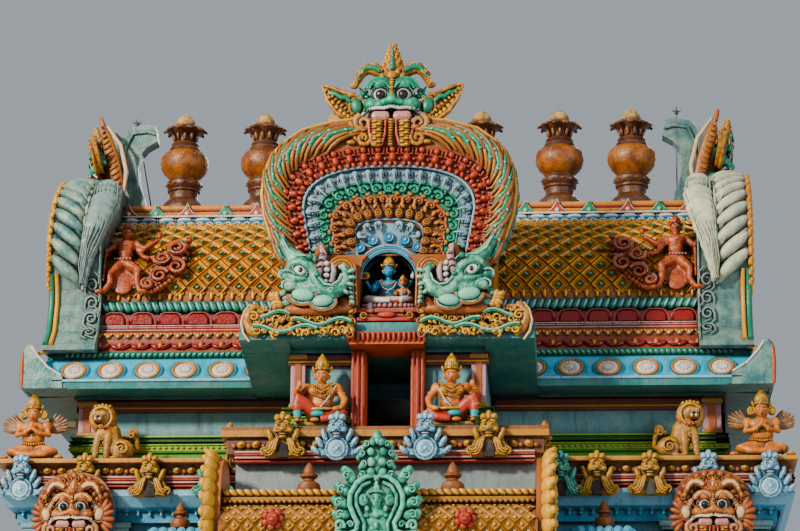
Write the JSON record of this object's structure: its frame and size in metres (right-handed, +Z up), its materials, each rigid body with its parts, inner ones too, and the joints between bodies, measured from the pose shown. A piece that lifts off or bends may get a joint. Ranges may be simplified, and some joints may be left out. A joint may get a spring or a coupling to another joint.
{
  "type": "gopuram gateway tower crown with one gateway storey",
  "caption": "Painted stucco temple gateway tower: pillared gateway storey, crown storey, barrel roof with horseshoe gables, arch front and a row of finials.",
  "frame": {"origin": "middle of the footprint, on the ground", "axes": "+Z up, the front faces -Y, +X to the right seen from the front"},
  "size_m": [13.2, 12.9, 12.5001],
  "materials": {
    "plinth_stone": "weathered grey stone",
    "lower_wall_paint": "blue lime paint on plaster",
    "gate_frame_orange": "orange-brown paint on plaster",
    "cornice_ochre": "ochre paint on plaster",
    "roof_gold": "gold-yellow paint on stucco",
    "plinth_green": "green paint on moulded stucco",
    "crown_wall_paint": "blue-grey paint on plaster",
    "door_frame_orange": "orange paint on plaster",
    "eave_blue": "aqua and red paint on moulded stucco",
    "fascia_teal": "teal paint on stucco",
    "gable_teal": "teal-grey paint on stucco",
    "arch_red": "red, green and gold paint on stucco",
    "mask_green": "green paint on stucco",
    "terracotta": "fired clay, weathered",
    "figure_orange": "orange and gold paint on stucco",
    "deity_blue": "blue enamel paint on stucco",
    "lion_gold": "gold-brown paint on stucco",
    "iron": "dark iron rod"
  },
  "bodies": {
    "root": {"base_plinth_left": "plinth_stone", "lower_wall_left_end": "lower_wall_paint", "crown_wall_left_end": "crown_wall_paint", "crown_plinth_left": "plinth_green", "gable_left": "gable_teal", "garuda_left": "figure_orange", "lion_left": "lion_gold", "lightning_rod_left": "iron", "base_plinth_right": "plinth_stone", "lower_wall_right_end": "lower_wall_paint", "crown_wall_right_end": "crown_wall_paint", "crown_plinth_right": "plinth_green", "gable_right": "gable_teal", "garuda_right": "figure_orange", "lion_right": "lion_gold", "lightning_rod_right": "iron", "lower_wall_front_left": "lower_wall_paint", "crown_wall_front_left": "crown_wall_paint", "guardian_front_left": "figure_orange", "shrine_bay_front_left": "lower_wall_paint", "lower_wall_front_right": "lower_wall_paint", "crown_wall_front_right": "crown_wall_paint", "guardian_front_right": "figure_orange", "shrine_bay_front_right": "lower_wall_paint", "lower_wall_back_left": "lower_wall_paint", "crown_wall_back_left": "crown_wall_paint", "guardian_back_left": "figure_orange", "shrine_bay_back_left": "lower_wall_paint", "lower_wall_back_right": "lower_wall_paint", "crown_wall_back_right": "crown_wall_paint", "guardian_back_right": "figure_orange", "shrine_bay_back_right": "lower_wall_paint", "gateway_frame_front": "gate_frame_orange", "porch_roof_front": "roof_gold", "crown_door_frame_front": "door_frame_orange", "bay_eave_front": "fascia_teal", "arch_front": "arch_red", "arch_mask_front": "mask_green", "arch_roof_front": "roof_gold", "deity_front": "deity_blue", "gateway_frame_back": "gate_frame_orange", "porch_roof_back": "roof_gold", "crown_door_frame_back": "door_frame_orange", "bay_eave_back": "fascia_teal", "arch_back": "arch_red", "arch_mask_back": "mask_green", "arch_roof_back": "roof_gold", "deity_back": "deity_blue", "gateway_floor": "plinth_stone", "lower_cornice": "cornice_ochre", "main_eave": "eave_blue", "roof_vault": "roof_gold", "kalasam_1": "terracotta", "kalasam_2": "terracotta", "kalasam_3": "terracotta", "kalasam_4": "terracotta", "kalasam_5": "terracotta", "kalasam_6": "terracotta", "kalasam_7": "terracotta"}
  },
  "joints": []
}
